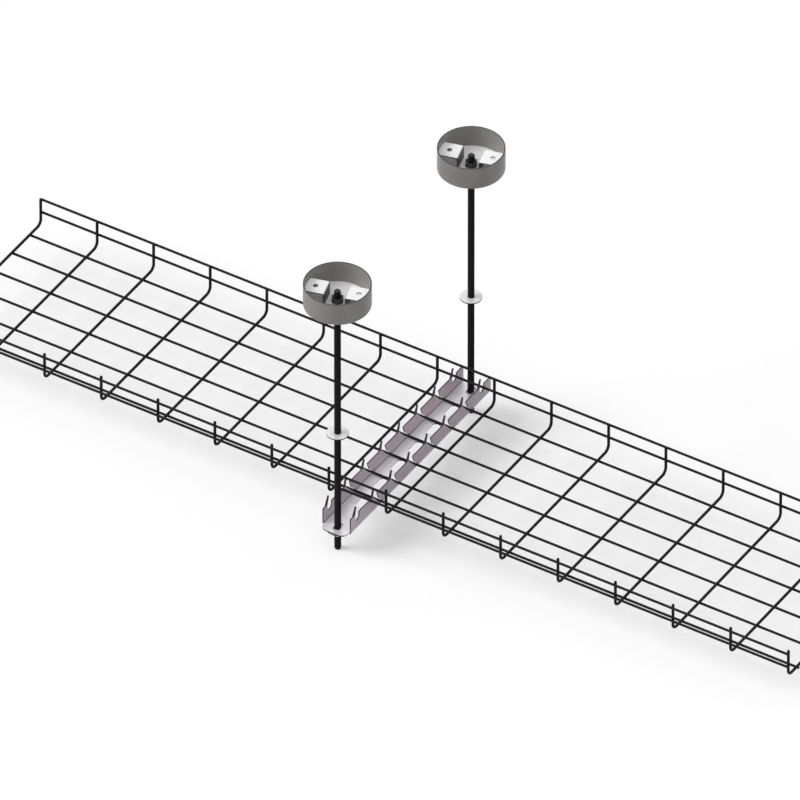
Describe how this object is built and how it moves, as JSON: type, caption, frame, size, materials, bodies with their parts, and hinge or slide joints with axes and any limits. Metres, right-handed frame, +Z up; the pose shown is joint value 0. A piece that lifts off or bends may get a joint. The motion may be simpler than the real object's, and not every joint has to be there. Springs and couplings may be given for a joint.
{
  "type": "wire mesh cable basket",
  "caption": "Welded wire mesh cable basket held in a hooked trapeze channel on two threaded rods with open ceiling cups.",
  "frame": {"origin": "under the middle of the assembly, level with the lower ends of the two threaded rods", "axes": "+X along the basket, +Y across it to the far rod, +Z up the rods"},
  "size_m": [1.5046, 0.476, 0.5085],
  "materials": {
    "black_wire": "black powder coat, satin, over welded steel wire",
    "channel_sheet": "mauve grey coated sheet steel, satin, paler on the flats",
    "black_rod": "blackened threaded steel rod, semi gloss",
    "fastener": "bright zinc plated steel",
    "black_nut": "blackened steel, semi gloss",
    "grey_cup": "dark grey metallic coat, satin",
    "white_plate": "white coated steel plate"
  },
  "bodies": {
    "root": {"basket_mesh": "black_wire", "trapeze_channel": "channel_sheet", "threaded_rod_near": "black_rod", "threaded_rod_far": "black_rod", "stop_washer_near": "fastener", "stop_washer_far": "fastener", "clamp_washer_near": "fastener", "clamp_washer_far": "fastener", "clamp_nut_near": "fastener", "clamp_nut_far": "fastener", "anchor_nut_near": "black_nut", "anchor_nut_far": "black_nut", "ceiling_cup_near": "grey_cup", "ceiling_cup_far": "grey_cup", "cup_bracket_near": "white_plate", "cup_bracket_far": "white_plate"}
  },
  "joints": []
}
